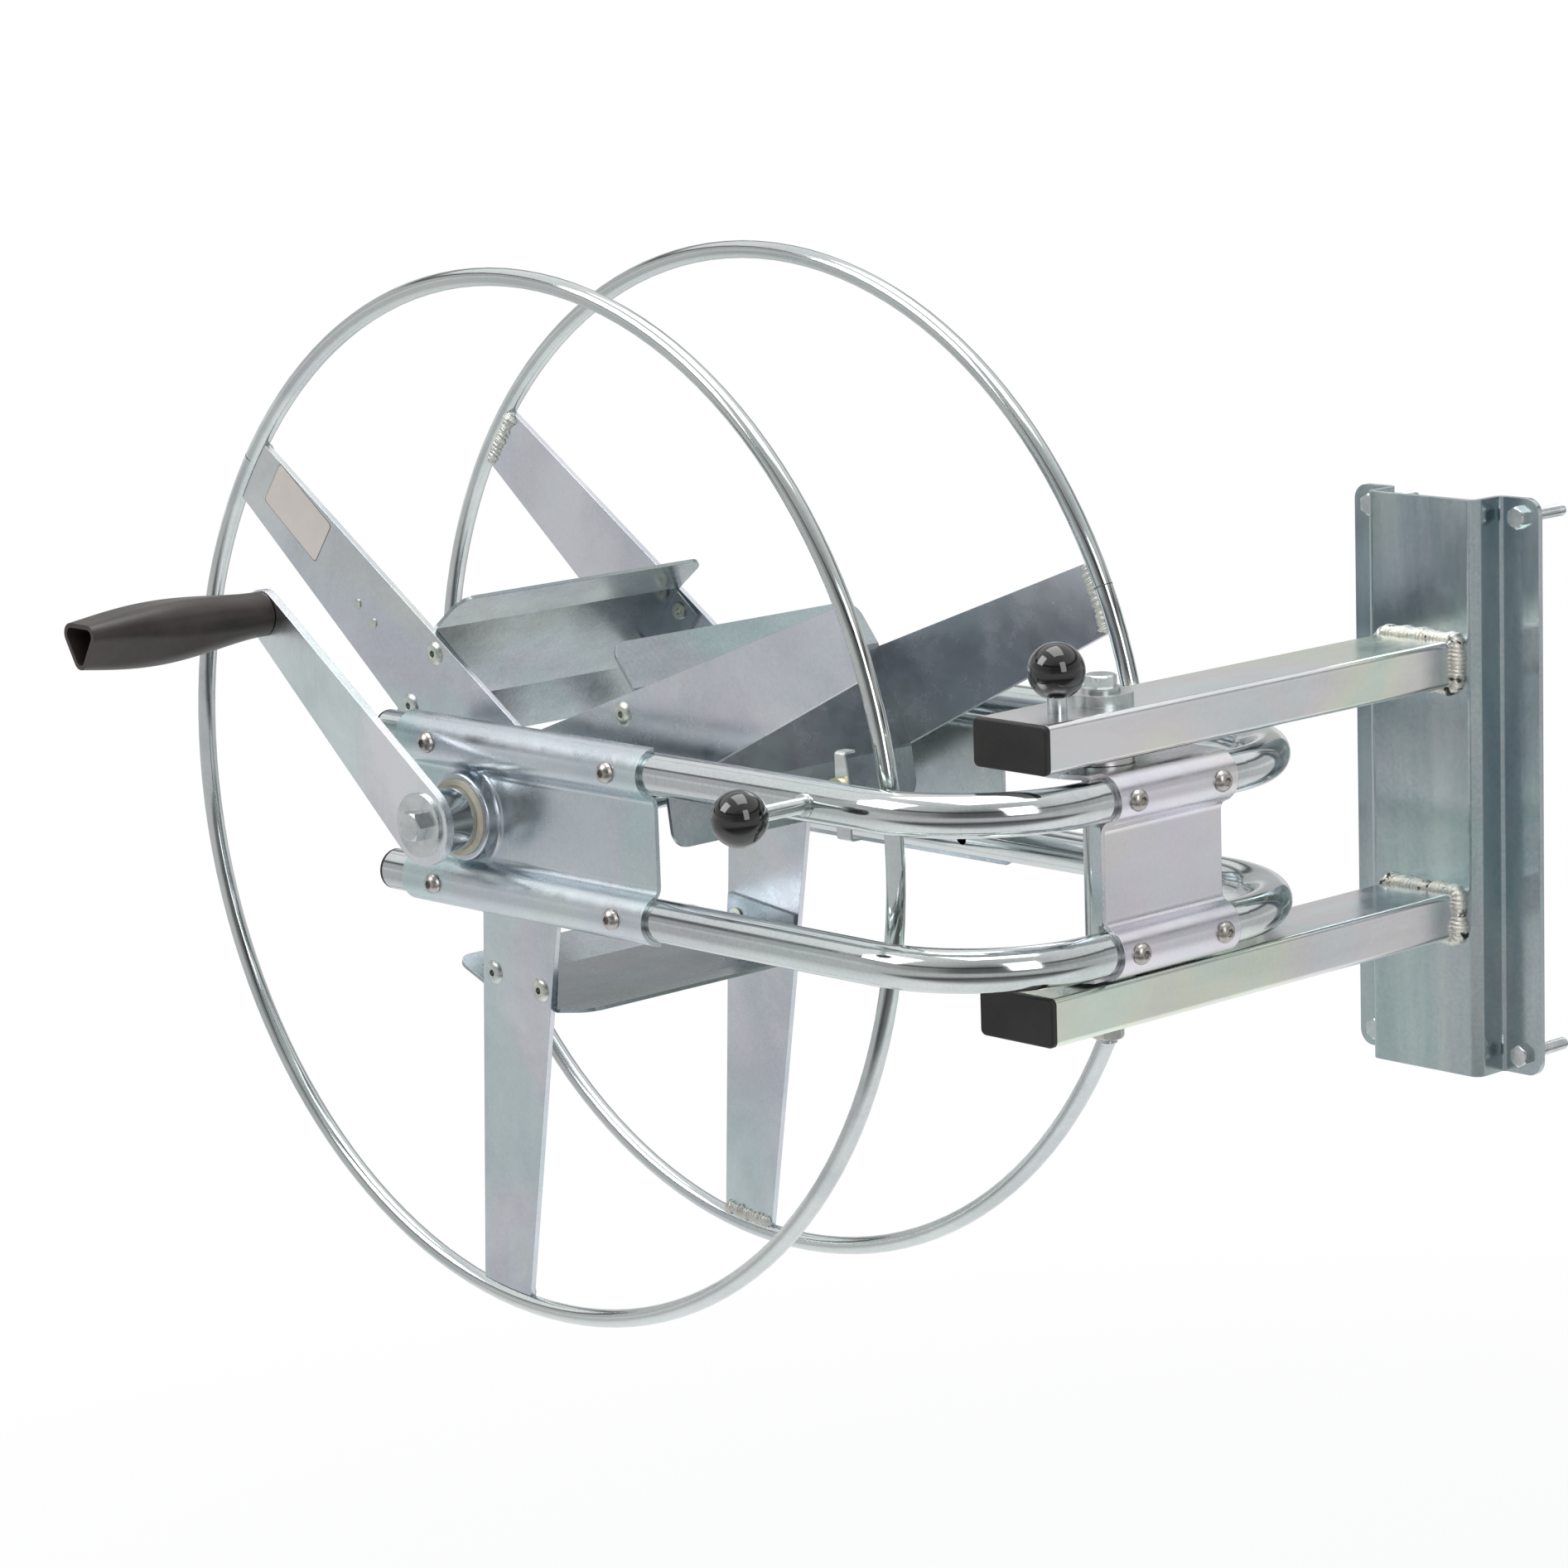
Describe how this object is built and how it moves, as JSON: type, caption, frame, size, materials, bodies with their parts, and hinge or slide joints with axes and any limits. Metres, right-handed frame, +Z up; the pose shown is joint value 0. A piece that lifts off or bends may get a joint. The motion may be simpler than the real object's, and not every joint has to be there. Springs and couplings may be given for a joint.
{
  "type": "wall mounted hose reel",
  "caption": "Wall bracket with two arms carrying a swivelling tube frame, in which an open hoop reel turns by a crank, with push-in locks for the reel and the swivel.",
  "frame": {"origin": "centre of the wall bracket's back face, in the wall plane, halfway between the four wall bolts", "axes": "+Z up, +Y into the wall, X = 0 on the centre line of the bracket, the arms and the pivot; the reel hangs to the -X side at rest"},
  "size_m": [0.8589, 0.6935, 0.7],
  "materials": {
    "zinc_sheet": "bright zinc plated sheet, satin",
    "zinc_tube": "bright zinc plated tube and bar, glossy",
    "zinc_hardware": "bright zinc plated fasteners",
    "screw_steel": "dull stainless",
    "yellow_zinc": "yellow passivated",
    "black_plastic": "fine grained matt",
    "grip_plastic": "satin moulded",
    "knob_plastic": "polished thermoset",
    "bush_plastic": "natural beige, smooth"
  },
  "bodies": {
    "wall_mount": {"wall_bracket": "zinc_sheet", "wall_bolts": "zinc_hardware", "upper_arm": "zinc_tube", "lower_arm": "zinc_tube", "arm_end_caps": "black_plastic", "pivot_bolt": "zinc_hardware", "pivot_nut": "zinc_hardware", "pivot_washer": "zinc_hardware", "pivot_nut_washer": "zinc_hardware", "pivot_spring_washer": "zinc_hardware", "upper_thrust_washer": "zinc_hardware", "lower_thrust_washer": "zinc_hardware", "swing_stop_bolt": "zinc_hardware"},
    "swivel_frame": {"upper_frame_tube": "zinc_tube", "lower_frame_tube": "zinc_tube", "clamp_plate": "zinc_sheet", "backing_bar": "zinc_sheet", "pivot_tube": "zinc_tube", "clamp_screws": "screw_steel", "near_side_plate": "zinc_sheet", "far_side_plate": "zinc_sheet", "near_bearing_bush": "bush_plastic", "far_bearing_bush": "bush_plastic", "side_plate_screws": "screw_steel", "tube_end_plugs": "black_plastic", "reel_lock_collar": "zinc_hardware", "reel_lock_guide": "yellow_zinc"},
    "reel": {"near_ring": "zinc_tube", "far_ring": "zinc_tube", "near_spider": "zinc_sheet", "far_spider": "zinc_sheet", "drum_plate_1": "zinc_sheet", "drum_plate_2": "zinc_sheet", "drum_plate_3": "zinc_sheet", "drum_rivets": "zinc_hardware", "spoke_rivets": "zinc_hardware", "reel_shaft": "zinc_tube", "shaft_plugs": "zinc_tube", "crank_arm": "zinc_sheet", "crank_washer": "zinc_hardware", "crank_bolt": "zinc_hardware", "shaft_end_washer": "zinc_hardware", "shaft_end_bolt": "zinc_hardware", "grip_pin": "zinc_hardware", "grip_retaining_washer": "zinc_hardware"},
    "grip": {"crank_grip": "grip_plastic"},
    "reel_lock": {"reel_lock_knob": "knob_plastic", "reel_lock_pin": "zinc_hardware", "reel_lock_catch": "zinc_sheet"},
    "swivel_lock": {"swivel_lock_knob": "knob_plastic", "swivel_lock_pin": "zinc_hardware"}
  },
  "joints": [
    {"name": "frame_swing", "type": "hinge", "parent": "wall_mount", "child": "swivel_frame", "pos_m": [0, -0.33, 0], "axis": [0, 0, 1], "range_deg": [0, 180]},
    {"name": "reel_spin", "type": "hinge", "parent": "swivel_frame", "child": "reel", "pos_m": [-0.434, -0.307, -0.002], "axis": [0, 1, 0], "continuous": true},
    {"name": "grip_spin", "type": "hinge", "parent": "reel", "child": "grip", "pos_m": [-0.58956, -0.56, 0.1213], "axis": [0, 1, 0], "continuous": true},
    {"name": "reel_lock_slide", "type": "slide", "parent": "swivel_frame", "child": "reel_lock", "axis": [0, 1, 0], "range_m": [0, 0.0175]},
    {"name": "swivel_lock_slide", "type": "slide", "parent": "wall_mount", "child": "swivel_lock", "axis": [0, 0, -1], "range_m": [0, 0.0075]}
  ]
}
